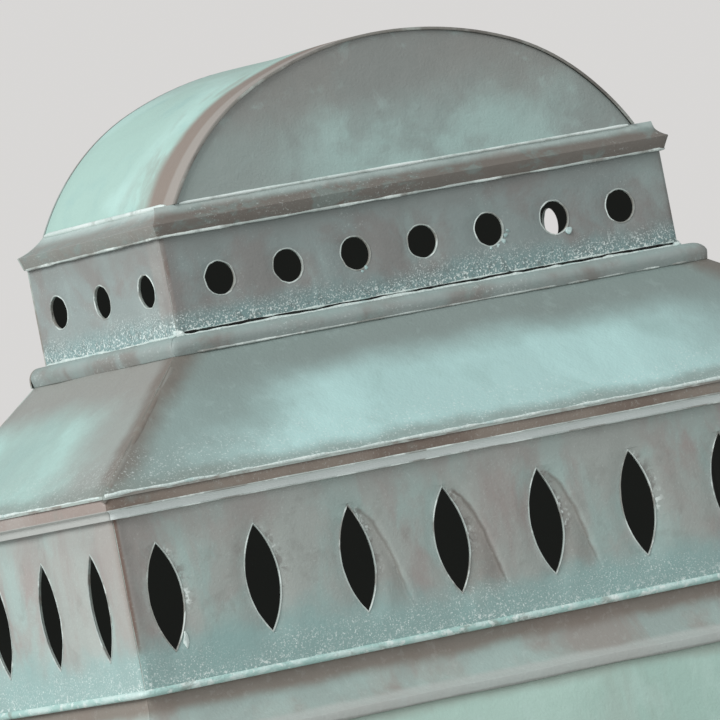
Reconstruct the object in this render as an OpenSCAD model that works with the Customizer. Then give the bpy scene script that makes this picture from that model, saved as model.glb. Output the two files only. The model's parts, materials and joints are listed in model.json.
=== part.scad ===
// Tiered, vented cap in folded and soldered copper sheet for a rectangular timber post.
// The origin is the middle of the skirt's open foot, +Z is up and the plain back faces +Y.

/* [Post] */
// Width of the post, across the front
post_w = 225; // [185:1:320]
// Depth of the post, front to back
post_d = 100; // [83:1:180]
// Gap between the post and the skirt on each short side
gap_w = 1.8; // [0.5:0.1:4]
// Gap between the post and the skirt at the front and back
gap_d = 1.8; // [0.5:0.1:4]
// How far the post goes up into the skirt
seat_z = 48; // [25:1:48]

/* [Sheet] */
// Thickness of the copper sheet
sheet = 0.7; // [0.5:0.1:0.9]
// Thickness of the brass seat rails
rail_t = 1.2; // [1:0.1:2]
// Width of the seat rails' flat leg
rail_w = 10; // [6:0.5:14]
// Height of the seat rails' upright leg
rail_h = 7; // [4:0.5:7]

/* [Skirt and ledge] */
// Height of the skirt below the ledge
skirt_h = 55; // [55:1:90]
// Height of the folded hem at the skirt's foot
hem_h = 5; // [3:0.5:8]
// How far the skirt stands out from the frieze
ledge_out = 5.6; // [4.6:0.1:9]
// Height of the ledge strip that laps over the skirt
ledge_h = 2.7; // [2.2:0.1:4]
// Height from the ledge's lower edge to the frieze's foot
base_rise = 15.1; // [13:0.1:20]
// Height of the plain recess under the bead
recess_h = 2.7; // [1:0.1:4]

/* [Frieze] */
// Height from the frieze's foot to the roof's drip edge
frieze_h = 43.7; // [38:0.1:65]
// Length of a slot
slot_l = 24.3; // [14:0.1:27]
// Width of a slot at its middle
slot_w = 8.7; // [4:0.1:10]
// Height of the slots' middles above the frieze's foot
slot_z = 19.2; // [16:0.1:21]
// Slot to slot distance along the front
slot_pitch = 24.8; // [16:0.1:34]
// Least distance from a front corner to the first slot's middle
slot_margin = 10.2; // [10.2:0.1:24]
// Slot to slot distance along a side
side_slot_pitch = 23.9; // [16:0.1:34]
// Distance from a front corner to the first side slot's middle
side_slot_first = 13.9; // [10:0.1:22]
// Least distance from the last side slot's middle to the back
side_slot_end = 8; // [7:0.1:20]
// Radius of the half-round bead at the frieze's foot
bead_r = 0.85; // [0.5:0.05:1.2]
// Leg of the angles inside the frieze's corners
frieze_leg = 4.5; // [3:0.5:5]

/* [Cornice and hip roof] */
// How far the cornice stands out from the frieze
cornice_out = 1.8; // [1.6:0.1:3]
// Height of the cornice's upper fascia
fascia_h = 3.8; // [2.5:0.1:5]
// Height of the cornice's lower step
step_h = 2; // [1.6:0.1:3]
// How far the roof's drip edge drops past the cornice's top line
drip = 0.3; // [0.1:0.1:0.8]
// Plan distance from the cupola's side walls to the cornice
side_run = 43.6; // [30:0.1:53]
// Plan distance from the cupola's front wall to the cornice
front_run = 32; // [22:0.1:39]
// Height from the cornice's top line to the cupola's foot
hip_drop = 31.6; // [18:0.1:50]
// Half width of the soldered cleats under the hips
cleat_w = 5; // [3:0.5:8]
// Thickness of the solder between the roof and its cleats
solder = 0.02; // [0.02:0.01:0.2]

/* [Curb] */
// How far the curb stands out from the cupola wall
curb_out = 4.9; // [3:0.1:6.5]
// Height of the curb's upright face
curb_face = 4.4; // [2.5:0.1:6]
// Radius of the curb's folded edge
curb_r = 2.9; // [0.9:0.1:3.4]
// How far the curb runs in under the cupola wall
curb_in = 3.3; // [1.5:0.1:4]

/* [Cupola] */
// Height of the cupola walls up to the eave
wall_h = 22.5; // [18:0.1:45]
// Diameter of a round vent
vent_d = 7.6; // [4:0.1:9.5]
// Height of the vents' middles above the cupola's foot
vent_z = 11.4; // [9:0.1:15]
// Vent to vent distance along the front
vent_pitch = 17.9; // [11:0.1:28]
// Least distance from a front corner to the first vent's middle
vent_margin = 13.9; // [12:0.1:22]
// Vent to vent distance along a side
side_vent_pitch = 20.9; // [11:0.1:28]
// Least distance from a side's end to the first vent's middle
side_vent_margin = 10.9; // [10.9:0.1:18]
// Leg of the angles inside the cupola's corners
cupola_leg = 5.5; // [3:0.5:6.5]

/* [Eave and vault] */
// Height of the eave moulding
eave_h = 6.9; // [5.5:0.1:10]
// Height of the eave's fascia
eave_fascia = 3; // [2.4:0.1:3.8]
// How far the eave's tip stands out from the wall
eave_out = 2; // [1.4:0.1:3]
// How far the vault's foot is set in from the side walls
vault_inset = 5.7; // [3:0.1:8]
// How far the lunette is set back from the vault's front edge
lunette_inset = 0.8; // [0.4:0.1:2]
// Rise of the vault above the eave
vault_rise = 31; // [22:0.1:45]
// Radius of the vault's shoulders
shoulder_r = 56; // [33:1:67]
// Slope of the vault at its foot, from level
foot_angle = 60.6; // [50:0.1:75]

/* [Clamp screws] */
// Radius of a clamp screw's shank
screw_r = 2.45; // [1.95:0.05:3.5]
// Running clearance of the shank in its bush
screw_gap = 0.05; // [0.02:0.01:0.1]
// Height of the clamp screws above the skirt's foot
screw_z = 23; // [14:1:30]
// Distance between a side's two clamp screws
screw_spacing = 60; // [30:1:66]
// How far a clamp screw travels inwards
screw_travel = 3; // [2:0.1:5]
// Radius of a screw's head
head_r = 4.5; // [3.5:0.1:6]
// Height of a screw's head
head_h = 3; // [2:0.1:4]
// Radius of a bush's boss
boss_r = 5; // [4:0.1:7]
// Height of a bush's boss
boss_h = 4; // [3:0.1:6]
// Radius of a bush's spigot in the skirt
spigot_r = 3.5; // [3.2:0.1:4.5]

/* [Fixing holes] */
// Diameter of the two fixing holes in the skirt's back
fixing_d = 4.5; // [3:0.1:6]
// Distance between the two fixing holes
fixing_spacing = 150; // [80:1:165]

/* [Hidden] */
$fn = 64;

// Plan sizes. A tier is its half width and the depth of its front face.
// Profiles count u outwards from their tier's faces.
skirt_x = post_w / 2 + gap_w + sheet;
skirt_y = post_d / 2 + gap_d + sheet;
frieze_x = skirt_x - ledge_out;
frieze_y = skirt_y - ledge_out;
cupola_x = frieze_x - side_run + cornice_out;
cupola_front_y = -frieze_y + front_run - cornice_out;
back_y = frieze_y;
plate_y = back_y - sheet;
cupola_d = back_y - cupola_front_y;
cupola_tier = [cupola_x, cupola_front_y];
frieze_tier = [frieze_x, -frieze_y];

// Levels
foot_z = skirt_h + base_rise;
cornice_z = foot_z + frieze_h;
cupola_z = cornice_z + hip_drop;
wall_z = cupola_z + wall_h;
eave_z = wall_z + eave_h;
ledge_z = skirt_h + ledge_h;
frieze_low = foot_z - 2 * bead_r;
lap = 3;
wall_lap = 2;
skirt_lap = 1.2;
roof_lap = 3;
mitre_out = 12;
mitre_in = 20;

// Roof slopes. Each falls from under the curb to the cornice's top line over its own run;
// u is the distance outwards from the cupola's wall.
roof_top = curb_out - sheet;
function roof_k(run) = (hip_drop - curb_face) / (run - roof_top);
function roof_tv(run) = sheet * sqrt(1 + roof_k(run) * roof_k(run));
function roof_z(run, u) = cornice_z + (run - u) * roof_k(run);
function roof_in(run, u) = roof_z(run, u) - roof_tv(run);

// A folded sheet's outline from the path of its outer face, with its thickness inwards
function seg_n(a, b) = [a.y - b.y, b.x - a.x] / norm(b - a);
function mitre_n(a, b, c) = (seg_n(a, b) + seg_n(b, c)) / (1 + seg_n(a, b) * seg_n(b, c));
function in_pt(p, i, t) =
    i == 0 ? p[0] + t * seg_n(p[0], p[1]) :
    i == len(p) - 1 ? p[i] + t * seg_n(p[i - 1], p[i]) :
    p[i] + t * mitre_n(p[i - 1], p[i], p[i + 1]);
function folded(p, t) = concat(p, [for (i = [len(p) - 1:-1:0]) in_pt(p, i, t)]);

// A shallow circular arc from a to b that bows by sag to the left of its way
function arc_pts(a, b, sag, n = 8) =
    let (c = norm(b - a), along = (b - a) / c, side = [-along.y, along.x],
         h = 2 * atan(2 * abs(sag) / c))
    [for (i = [0:n])
        let (q = h * (2 * i / n - 1))
        a + along * c / 2 * (1 + sin(q) / sin(h))
          + side * sag * (cos(q) - cos(h)) / (1 - cos(h))];

// Profiles, as the outer face's path from the bottom up
curb_path = concat(
    [[curb_out, cupola_z - curb_face]],
    arc_pts([curb_out, cupola_z - curb_r], [curb_out - curb_r, cupola_z],
            -curb_r * (1 - sqrt(0.5)), 6),
    [[-curb_in, cupola_z]]);
eave_foot_u = sheet + 0.1;
eave_tip = [eave_out, wall_z + eave_fascia];
eave_front_path = concat(
    [[eave_foot_u, wall_z]],
    arc_pts(eave_tip, [-lunette_inset, eave_z], 0.5));
eave_side_path = concat(
    [[eave_foot_u, wall_z]],
    arc_pts(eave_tip, [-vault_inset, eave_z], 0.5));
cornice_step = cornice_out - sheet - 0.2;
function cornice_path(run) = [
    [0, cornice_z - fascia_h - step_h],
    [cornice_out - cornice_step, cornice_z - fascia_h - step_h],
    [cornice_out - cornice_step, cornice_z - fascia_h - 0.5],
    [cornice_out, cornice_z - fascia_h],
    [cornice_out, roof_in(run, run)]];
function frieze_top(run) = roof_in(run, run - cornice_out);
cove_top = [-sheet, frieze_low - recess_h];
cove_path = concat(
    [[ledge_out + sheet, skirt_h]],
    [[ledge_out + sheet, ledge_z - 0.4]],
    arc_pts([ledge_out - 0.6, ledge_z], cove_top, 1.1),
    [[-sheet, foot_z + lap]]);

// Vault: a crown arc between two tighter shoulder arcs, all tangent
vault_x = cupola_x - vault_inset;
shoulder = min(shoulder_r, 0.95 * vault_x / sin(foot_angle),
               0.95 * vault_rise / (1 - cos(foot_angle)));
shoulder_x = vault_x - shoulder * sin(foot_angle);
shoulder_zc = eave_z - shoulder * cos(foot_angle);
crown_half = 2 * atan((vault_rise - shoulder * (1 - cos(foot_angle))) / shoulder_x);
crown_r = shoulder + shoulder_x / sin(crown_half);
crown_zc = eave_z + vault_rise - crown_r;

// Rows of openings: as many as fit, about the middle
function row_n(span, margin, pitch) = floor((span - 2 * margin) / pitch + 0.01) + 1;
function row(n, pitch) = [for (i = [0:n - 1]) (i - (n - 1) / 2) * pitch];
vent_xs = row(row_n(2 * cupola_x, vent_margin, vent_pitch), vent_pitch);
side_vent_ys = [for (y = row(row_n(cupola_d, side_vent_margin, side_vent_pitch), side_vent_pitch))
    cupola_front_y + cupola_d / 2 + y];
slot_xs = row(row_n(2 * frieze_x, slot_margin, slot_pitch), slot_pitch);
side_slot_n = floor((2 * frieze_y - side_slot_first - side_slot_end) / side_slot_pitch) + 1;
side_slot_ys = [for (i = [0:side_slot_n - 1]) -frieze_y + side_slot_first + i * side_slot_pitch];
slot_r = (slot_l * slot_l / 4 + slot_w * slot_w / 4) / slot_w;

// Clamp screws
screw_ys = [-screw_spacing / 2, screw_spacing / 2];
head_gap = screw_travel + 0.4;
tip_x = skirt_x - sheet;
head_x = skirt_x + boss_h + head_gap;

copper_mint = [0.56, 0.70, 0.64];
copper_grey = [0.50, 0.60, 0.57];
copper_brown = [0.47, 0.40, 0.37];
copper_sage = [0.53, 0.67, 0.60];
brass_dull = [0.52, 0.43, 0.27];

// A sheet strip along a tier's front, mitred at both front corners
module front_strip(tier, outline, reach_in = mitre_in) {
    intersection() {
        translate([-tier.x - mitre_out, 0, 0])
            rotate([90, 0, 90])
                linear_extrude(2 * (tier.x + mitre_out))
                    polygon([for (p = outline) [tier.y - p.x, p.y]]);
        linear_extrude(eave_z + 10)
            polygon([
                [-tier.x - mitre_out, tier.y - mitre_out],
                [tier.x + mitre_out, tier.y - mitre_out],
                [tier.x - reach_in, tier.y + reach_in],
                [-tier.x + reach_in, tier.y + reach_in]]);
    }
}

// A sheet strip along a tier's left side, from the front mitre back to the back plate.
// Further in than reach_in it starts square, behind the front strip.
module left_strip(tier, outline, reach_in = mitre_in) {
    intersection() {
        translate([0, plate_y, 0])
            rotate([90, 0, 0])
                linear_extrude(plate_y - tier.y + mitre_out)
                    polygon([for (p = outline) [-tier.x - p.x, p.y]]);
        linear_extrude(eave_z + 10)
            polygon([
                [-tier.x - mitre_out, tier.y - mitre_out],
                [-tier.x + reach_in, tier.y + reach_in],
                [0, tier.y + reach_in],
                [0, plate_y],
                [-tier.x - mitre_out, plate_y]]);
    }
}

// A layer of the roof's front or left slope, cut on the vertical plane through the hip.
// w0 and w1 are its ends, as shares of the way from the curb to the cornice.
module front_slope(layer, w0, w1, film = 0) {
    intersection() {
        translate([-frieze_x - mitre_out, 0, 0])
            rotate([90, 0, 90])
                linear_extrude(2 * (frieze_x + mitre_out))
                    polygon([for (p = slope_outline(front_run, layer, w0, w1, film))
                        [cupola_front_y - p.x, p.y]]);
        linear_extrude(eave_z)
            polygon([hip_point(-1), hip_point(2), mirror_x(hip_point(2)), mirror_x(hip_point(-1))]);
    }
}

module left_slope(layer, w0, w1, film = 0) {
    intersection() {
        translate([0, plate_y, 0])
            rotate([90, 0, 0])
                linear_extrude(plate_y + frieze_y + mitre_out)
                    polygon([for (p = slope_outline(side_run, layer, w0, w1, film))
                        [-cupola_x - p.x, p.y]]);
        linear_extrude(eave_z)
            polygon([hip_point(-1), hip_point(2), [hip_point(2).x, plate_y], [hip_point(-1).x, plate_y]]);
    }
}

// A point in plan on the left hip's line: 0 is under the curb and 1 is at the cornice
function hip_point(w) = [
    -cupola_x - roof_top - w * (side_run - roof_top),
    cupola_front_y - roof_top - w * (front_run - roof_top)];
function mirror_x(p) = [-p.x, p.y];

// The section of a layer between two shares of the slope, layers counted inwards
function slope_outline(run, layer, w0, w1, film) =
    let (u0 = roof_top + w0 * (run - roof_top), u1 = roof_top + w1 * (run - roof_top),
         top = layer * roof_tv(run) + film, low = (layer + 1) * roof_tv(run) + film)
    [[u0, roof_z(run, u0) - top], [u1, roof_z(run, u1) - top],
     [u1, roof_z(run, u1) - low], [u0, roof_z(run, u0) - low]];

// Strips of the base, mitred at all four corners. v is measured from the frieze's faces.
module base_front_strip(outline) {
    far = ledge_out + 10;
    intersection() {
        translate([-frieze_x - far, 0, 0])
            rotate([90, 0, 90])
                linear_extrude(2 * (frieze_x + far))
                    polygon([for (p = outline) [-frieze_y - p.x, p.y]]);
        linear_extrude(foot_z + 20)
            polygon([
                [-frieze_x - far, -frieze_y - far],
                [frieze_x + far, -frieze_y - far],
                [frieze_x - frieze_y, 0],
                [-frieze_x + frieze_y, 0]]);
    }
}

module base_left_strip(outline) {
    far = ledge_out + 10;
    intersection() {
        translate([0, frieze_y + far, 0])
            rotate([90, 0, 0])
                linear_extrude(2 * (frieze_y + far))
                    polygon([for (p = outline) [-frieze_x - p.x, p.y]]);
        linear_extrude(foot_z + 20)
            polygon([
                [-frieze_x - far, -frieze_y - far],
                [-frieze_x + frieze_y, 0],
                [-frieze_x - far, frieze_y + far]]);
    }
}

// The vault's section, set in by d from its outer face, above the eave
module vault_area(d) {
    reach = vault_x + vault_rise;
    intersection() {
        union() {
            intersection() {
                translate([0, crown_zc]) circle(crown_r - d, $fn = 180);
                translate([0, crown_zc])
                    polygon([
                        [0, 0],
                        [2 * crown_r * sin(crown_half), 2 * crown_r * cos(crown_half)],
                        [-2 * crown_r * sin(crown_half), 2 * crown_r * cos(crown_half)]]);
            }
            for (s = [-1, 1])
                translate([s * shoulder_x, shoulder_zc]) circle(shoulder - d, $fn = 180);
        }
        translate([-reach, eave_z]) square([2 * reach, reach]);
    }
}

// Turns a section drawn in X and Z into a plate between two depths
module plate_xz(y0, y1) {
    translate([0, y1, 0]) rotate([90, 0, 0]) linear_extrude(y1 - y0) children();
}

// Pointed slot with two equal arcs
module slot_shape() {
    intersection() {
        for_side(-1) circle(slot_r, $fn = 120);
        for_side(1) circle(slot_r, $fn = 120);
    }
}

module for_side(s) {
    translate([s * (slot_r - slot_w / 2), 0]) children();
}

// An angle's plan, with its heel at the origin and its legs along +X and +Y
module angle_plan(leg) {
    union() {
        square([leg, sheet]);
        square([sheet, leg]);
    }
}

module vault_sheet() {
    color(copper_mint)
        plate_xz(cupola_front_y, plate_y)
            difference() {
                vault_area(0);
                vault_area(sheet);
            }
}

module front_lunette() {
    face_y = cupola_front_y + lunette_inset;
    color(copper_grey) plate_xz(face_y, face_y + sheet) vault_area(sheet);
}

module back_lunette() {
    color(copper_grey) plate_xz(plate_y, back_y) vault_area(0);
}

module eave_front() {
    color(copper_brown) front_strip(cupola_tier, folded(eave_front_path, sheet), lunette_inset + sheet);
}

module eave_left() {
    color(copper_brown) left_strip(cupola_tier, folded(eave_side_path, sheet), lunette_inset + sheet);
}

module eave_right() {
    mirror([1, 0, 0]) eave_left();
}

function wall_outline() = [
    [0, cupola_z], [0, wall_z + wall_lap], [-sheet, wall_z + wall_lap], [-sheet, cupola_z]];

module cupola_front() {
    color(copper_grey)
        difference() {
            front_strip(cupola_tier, wall_outline());
            for (x = vent_xs)
                translate([x, cupola_front_y + sheet + 1, cupola_z + vent_z])
                    rotate([90, 0, 0])
                        cylinder(h = sheet + 2, d = vent_d);
        }
}

module cupola_left() {
    color(copper_grey)
        difference() {
            left_strip(cupola_tier, wall_outline());
            for (y = side_vent_ys)
                translate([-cupola_x - 1, y, cupola_z + vent_z])
                    rotate([0, 90, 0])
                        cylinder(h = sheet + 2, d = vent_d);
        }
}

module cupola_right() {
    mirror([1, 0, 0]) cupola_left();
}

module cupola_angle_front_left() {
    color(copper_brown)
        translate([-cupola_x + sheet, cupola_front_y + sheet, cupola_z])
            linear_extrude(wall_h + 1) angle_plan(cupola_leg);
}

module cupola_angle_front_right() {
    mirror([1, 0, 0]) cupola_angle_front_left();
}

module cupola_angle_rear_left() {
    color(copper_brown)
        translate([-cupola_x + sheet, plate_y, cupola_z])
            mirror([0, 1, 0])
                linear_extrude(wall_h + 1) angle_plan(cupola_leg);
}

module cupola_angle_rear_right() {
    mirror([1, 0, 0]) cupola_angle_rear_left();
}

module curb_front() {
    color(copper_brown) front_strip(cupola_tier, folded(curb_path, sheet));
}

module curb_left() {
    color(copper_brown) left_strip(cupola_tier, folded(curb_path, sheet));
}

module curb_right() {
    mirror([1, 0, 0]) curb_left();
}

// The panels start a little way in under the curb and end past the cornice's top line
roof_start = -roof_lap / (side_run - roof_top);
roof_end = 1 + drip / (hip_drop - curb_face);
cleat_start = 0.03;
cleat_end = 1 - (frieze_leg + cornice_out + 2) / (front_run - roof_top);

module hip_front() {
    color(copper_mint) front_slope(0, roof_start, roof_end);
}

module hip_left() {
    color(copper_mint) left_slope(0, roof_start, roof_end);
}

module hip_right() {
    mirror([1, 0, 0]) hip_left();
}

module hip_cleat_left() {
    hip_turn = atan((front_run - roof_top) / (side_run - roof_top));
    color(copper_brown)
        intersection() {
            union() {
                front_slope(1, cleat_start, cleat_end, solder);
                left_slope(1, cleat_start, cleat_end, solder);
            }
            translate([hip_point(0).x, hip_point(0).y, 0])
                rotate([0, 0, hip_turn])
                    translate([-2 * side_run, -cleat_w, 0])
                        cube([2 * side_run + cleat_w, 2 * cleat_w, eave_z]);
        }
}

module hip_cleat_right() {
    mirror([1, 0, 0]) hip_cleat_left();
}

module cornice_front() {
    color(copper_brown) front_strip(frieze_tier, folded(cornice_path(front_run), sheet));
}

module cornice_left() {
    color(copper_brown) left_strip(frieze_tier, folded(cornice_path(side_run), sheet));
}

module cornice_right() {
    mirror([1, 0, 0]) cornice_left();
}

function frieze_outline(top) = [
    [0, frieze_low], [0, top], [-sheet, top], [-sheet, frieze_low]];

module frieze_front() {
    color(copper_grey)
        difference() {
            front_strip(frieze_tier, frieze_outline(frieze_top(front_run)));
            for (x = slot_xs)
                translate([x, 0, foot_z + slot_z])
                    plate_xz(-frieze_y - 1, -frieze_y + sheet + 1) slot_shape();
        }
}

module frieze_left() {
    color(copper_grey)
        difference() {
            left_strip(frieze_tier, frieze_outline(frieze_top(side_run)));
            for (y = side_slot_ys)
                translate([-frieze_x - 1, y, foot_z + slot_z])
                    rotate([90, 0, 90])
                        linear_extrude(sheet + 2) slot_shape();
        }
}

module frieze_right() {
    mirror([1, 0, 0]) frieze_left();
}

frieze_angle_h = min(frieze_top(front_run), frieze_top(side_run)) - foot_z - lap - 0.2;

module frieze_angle_front_left() {
    color(copper_brown)
        translate([-frieze_x + sheet, -frieze_y + sheet, foot_z + lap])
            linear_extrude(frieze_angle_h) angle_plan(frieze_leg);
}

module frieze_angle_front_right() {
    mirror([1, 0, 0]) frieze_angle_front_left();
}

module frieze_angle_rear_left() {
    color(copper_brown)
        translate([-frieze_x + sheet, plate_y, foot_z + lap])
            mirror([0, 1, 0])
                linear_extrude(frieze_angle_h) angle_plan(frieze_leg);
}

module frieze_angle_rear_right() {
    mirror([1, 0, 0]) frieze_angle_rear_left();
}

// Half-round bead soldered on the frieze's foot
function bead_outline() =
    [for (i = [0:12])
        let (q = -90 + 15 * i)
        [bead_r * cos(q), foot_z - bead_r + bead_r * sin(q)]];

module bead_front() {
    color(copper_mint) front_strip(frieze_tier, bead_outline());
}

module bead_left() {
    color(copper_mint) left_strip(frieze_tier, bead_outline());
}

module bead_right() {
    mirror([1, 0, 0]) bead_left();
}

// One plain plate closes the back, from the frieze's foot to the eave
drip_u = roof_top + roof_end * (side_run - roof_top);
back_side = concat(
    [[side_run - cornice_out, frieze_low]],
    [for (p = cornice_path(side_run)) [side_run - cornice_out + p.x, p.y]],
    [[drip_u, roof_in(side_run, drip_u)],
     [drip_u, roof_z(side_run, drip_u)],
     [roof_top, cupola_z - curb_face]],
    [for (i = [0:len(curb_path) - 2]) curb_path[i]],
    [[0, cupola_z], [0, wall_z]],
    eave_side_path);

module back_plate() {
    color(copper_grey)
        plate_xz(plate_y, back_y)
            polygon(concat(
                [for (p = back_side) [cupola_x + p.x, p.y]],
                [for (i = [len(back_side) - 1:-1:0])
                    [-cupola_x - back_side[i].x, back_side[i].y]]));
}

module cove_front() {
    color(copper_grey) base_front_strip(folded(cove_path, sheet));
}

module cove_back() {
    mirror([0, 1, 0]) cove_front();
}

module cove_left() {
    color(copper_grey) base_left_strip(folded(cove_path, sheet));
}

module cove_right() {
    mirror([1, 0, 0]) cove_left();
}

skirt_outline = [
    [ledge_out - sheet, 0], [ledge_out + sheet, 0], [ledge_out + sheet, hem_h],
    [ledge_out, hem_h], [ledge_out, skirt_h + skirt_lap], [ledge_out - sheet, skirt_h + skirt_lap]];

module skirt_front() {
    color(copper_sage) base_front_strip(skirt_outline);
}

module skirt_back() {
    color(copper_sage)
        difference() {
            mirror([0, 1, 0]) base_front_strip(skirt_outline);
            for (s = [-1, 1])
                translate([s * fixing_spacing / 2, skirt_y + 1, screw_z])
                    rotate([90, 0, 0])
                        cylinder(h = sheet + 2, d = fixing_d);
        }
}

module skirt_left() {
    color(copper_sage)
        difference() {
            base_left_strip(skirt_outline);
            for (y = screw_ys)
                translate([-skirt_x - 1, y, screw_z])
                    rotate([0, 90, 0])
                        cylinder(h = sheet + 2, r = spigot_r + screw_gap);
        }
}

module skirt_right() {
    mirror([1, 0, 0]) skirt_left();
}

rail_v = ledge_out - sheet;
rail_outline = [
    [rail_v, seat_z], [rail_v, seat_z + rail_h], [rail_v - rail_t, seat_z + rail_h],
    [rail_v - rail_t, seat_z + rail_t], [rail_v - rail_w, seat_z + rail_t],
    [rail_v - rail_w, seat_z]];

module seat_rail_front() {
    color(brass_dull) base_front_strip(rail_outline);
}

module seat_rail_back() {
    mirror([0, 1, 0]) seat_rail_front();
}

module seat_rail_left() {
    color(brass_dull) base_left_strip(rail_outline);
}

module seat_rail_right() {
    mirror([1, 0, 0]) seat_rail_left();
}

module bushes_left() {
    color(brass_dull)
        for (y = screw_ys)
            translate([-skirt_x, y, screw_z])
                rotate([0, 90, 0])
                    difference() {
                        union() {
                            translate([0, 0, -boss_h]) cylinder(h = boss_h, r = boss_r);
                            cylinder(h = sheet, r = spigot_r);
                        }
                        translate([0, 0, -boss_h - 1])
                            cylinder(h = boss_h + sheet + 2, r = screw_r + screw_gap);
                    }
}

module bushes_right() {
    mirror([1, 0, 0]) bushes_left();
}

// A slotted screw along X, its tip flush with the skirt's inner face
module clamp_screw(y) {
    slot_cut = 1.2;
    tip = 1;
    color(brass_dull)
        translate([-head_x, y, screw_z])
            rotate([0, 90, 0])
                difference() {
                    union() {
                        translate([0, 0, -head_h]) cylinder(h = head_h, r = head_r);
                        cylinder(h = head_x - tip_x - tip, r = screw_r);
                        translate([0, 0, head_x - tip_x - tip])
                            cylinder(h = tip, r1 = screw_r, r2 = screw_r - tip);
                    }
                    translate([-head_r - 1, -slot_cut / 2, -head_h - 1])
                        cube([2 * head_r + 2, slot_cut, slot_cut + 1]);
                }
}

module clamp_screw_front_left() {
    clamp_screw(screw_ys[0]);
}

module clamp_screw_rear_left() {
    clamp_screw(screw_ys[1]);
}

module clamp_screw_front_right() {
    mirror([1, 0, 0]) clamp_screw(screw_ys[0]);
}

module clamp_screw_rear_right() {
    mirror([1, 0, 0]) clamp_screw(screw_ys[1]);
}

vault_sheet();
front_lunette();
back_lunette();
eave_front();
eave_left();
eave_right();
cupola_front();
cupola_left();
cupola_right();
cupola_angle_front_left();
cupola_angle_front_right();
cupola_angle_rear_left();
cupola_angle_rear_right();
curb_front();
curb_left();
curb_right();
hip_front();
hip_left();
hip_right();
hip_cleat_left();
hip_cleat_right();
cornice_front();
cornice_left();
cornice_right();
frieze_front();
frieze_left();
frieze_right();
frieze_angle_front_left();
frieze_angle_front_right();
frieze_angle_rear_left();
frieze_angle_rear_right();
bead_front();
bead_left();
bead_right();
back_plate();
cove_front();
cove_back();
cove_left();
cove_right();
skirt_front();
skirt_back();
skirt_left();
skirt_right();
seat_rail_front();
seat_rail_back();
seat_rail_left();
seat_rail_right();
bushes_left();
bushes_right();
clamp_screw_front_left();
clamp_screw_rear_left();
clamp_screw_front_right();
clamp_screw_rear_right();
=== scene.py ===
import json
import math
from contextlib import contextmanager

import bpy
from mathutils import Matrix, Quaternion, Vector, noise

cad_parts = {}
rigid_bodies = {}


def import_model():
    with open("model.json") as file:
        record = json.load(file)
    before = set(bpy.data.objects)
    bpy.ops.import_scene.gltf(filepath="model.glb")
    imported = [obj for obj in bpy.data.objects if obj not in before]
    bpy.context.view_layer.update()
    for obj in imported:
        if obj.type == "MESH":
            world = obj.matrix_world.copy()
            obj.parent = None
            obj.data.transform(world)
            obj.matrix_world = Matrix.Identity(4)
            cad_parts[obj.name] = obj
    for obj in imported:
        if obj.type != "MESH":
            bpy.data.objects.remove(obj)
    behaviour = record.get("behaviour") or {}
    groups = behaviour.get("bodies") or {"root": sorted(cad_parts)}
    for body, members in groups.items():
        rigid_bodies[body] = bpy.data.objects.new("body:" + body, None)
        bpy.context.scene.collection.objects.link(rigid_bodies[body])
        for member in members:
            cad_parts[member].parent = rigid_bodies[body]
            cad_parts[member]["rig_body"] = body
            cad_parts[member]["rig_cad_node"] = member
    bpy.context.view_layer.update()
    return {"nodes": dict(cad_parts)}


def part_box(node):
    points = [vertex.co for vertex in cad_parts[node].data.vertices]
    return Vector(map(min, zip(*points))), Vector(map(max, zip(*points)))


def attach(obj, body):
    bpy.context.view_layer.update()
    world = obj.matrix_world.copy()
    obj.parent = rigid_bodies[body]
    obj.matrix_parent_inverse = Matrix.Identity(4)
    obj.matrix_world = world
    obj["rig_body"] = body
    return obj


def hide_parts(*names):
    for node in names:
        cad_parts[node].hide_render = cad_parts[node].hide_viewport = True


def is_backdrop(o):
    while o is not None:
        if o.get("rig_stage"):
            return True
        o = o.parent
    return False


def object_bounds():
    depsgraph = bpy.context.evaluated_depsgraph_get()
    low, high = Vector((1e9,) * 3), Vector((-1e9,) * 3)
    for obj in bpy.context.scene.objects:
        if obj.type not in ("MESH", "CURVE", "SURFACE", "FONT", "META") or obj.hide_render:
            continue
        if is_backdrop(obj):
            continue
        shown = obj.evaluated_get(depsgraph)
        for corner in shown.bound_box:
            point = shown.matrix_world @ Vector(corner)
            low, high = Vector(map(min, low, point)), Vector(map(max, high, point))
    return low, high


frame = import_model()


# Barrel vault: one copper sheet rolled over the cupola, with a half-round lunette soldered in a
# little behind its front edge. Mint verdigris, worn to brown along the front edge and crown.
def deselect():
    bpy.ops.object.select_all(action="DESELECT")


def pick(piece):
    deselect()
    piece.select_set(True)
    bpy.context.view_layer.objects.active = piece


@contextmanager
def edit_mode(piece):
    pick(piece)
    bpy.ops.object.mode_set(mode="EDIT")
    yield
    bpy.ops.object.mode_set(mode="OBJECT")


def sheet_copy(node):
    pick(frame["nodes"][node])
    bpy.ops.object.duplicate()
    piece = bpy.context.object
    piece.name = piece.data.name = node + "_sheet"
    bpy.ops.object.parent_clear(type="CLEAR_KEEP_TRANSFORM")
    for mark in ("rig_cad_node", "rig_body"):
        del piece[mark]
    piece.data.materials.clear()
    bpy.ops.mesh.customdata_custom_splitnormals_clear()
    with edit_mode(piece):
        bpy.ops.mesh.select_all(action="SELECT")
        bpy.ops.mesh.remove_doubles(threshold=2e-6)
        bpy.ops.mesh.dissolve_limited(angle_limit=math.radians(0.3))
    return piece


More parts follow.
